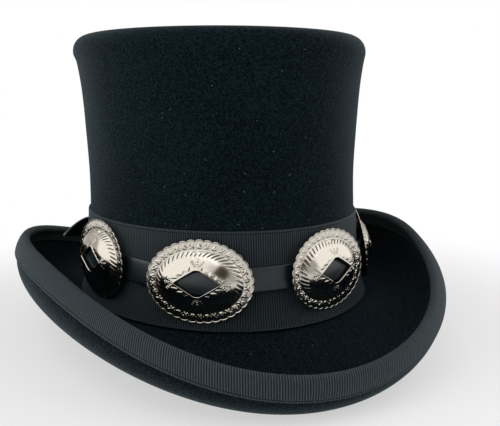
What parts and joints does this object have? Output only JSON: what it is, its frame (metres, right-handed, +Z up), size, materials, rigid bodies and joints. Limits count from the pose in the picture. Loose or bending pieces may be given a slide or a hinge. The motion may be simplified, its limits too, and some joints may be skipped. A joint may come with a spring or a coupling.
{
  "type": "felt top hat",
  "caption": "Felt top hat with a flared flat-topped crown, a rolled and bound brim, a wide ribbon band and a leather strap of oval domed conchos; worn on the head.",
  "frame": {"origin": "centre of the hat's bounding box in plan, on the surface that the brim rests on", "axes": "+Z up towards the tip of the crown; the front of the hat faces -Y; +X is the wearer's left"},
  "size_m": [0.2494, 0.3476, 0.1741],
  "materials": {
    "wool_felt": "short-napped black wool felt, fully matt",
    "grosgrain": "ribbed black grosgrain ribbon, dull sheen along the ribs",
    "strap_leather": "smooth black leather, soft satin sheen",
    "nickel_silver": "polished nickel silver with dark antiqued stamping"
  },
  "bodies": {
    "root": {"felt_body": "wool_felt", "brim_binding": "grosgrain", "hat_band": "grosgrain", "concho_strap": "strap_leather", "concho_1": "nickel_silver", "concho_2": "nickel_silver", "concho_3": "nickel_silver", "concho_4": "nickel_silver", "concho_5": "nickel_silver", "concho_6": "nickel_silver", "concho_7": "nickel_silver"}
  },
  "joints": []
}
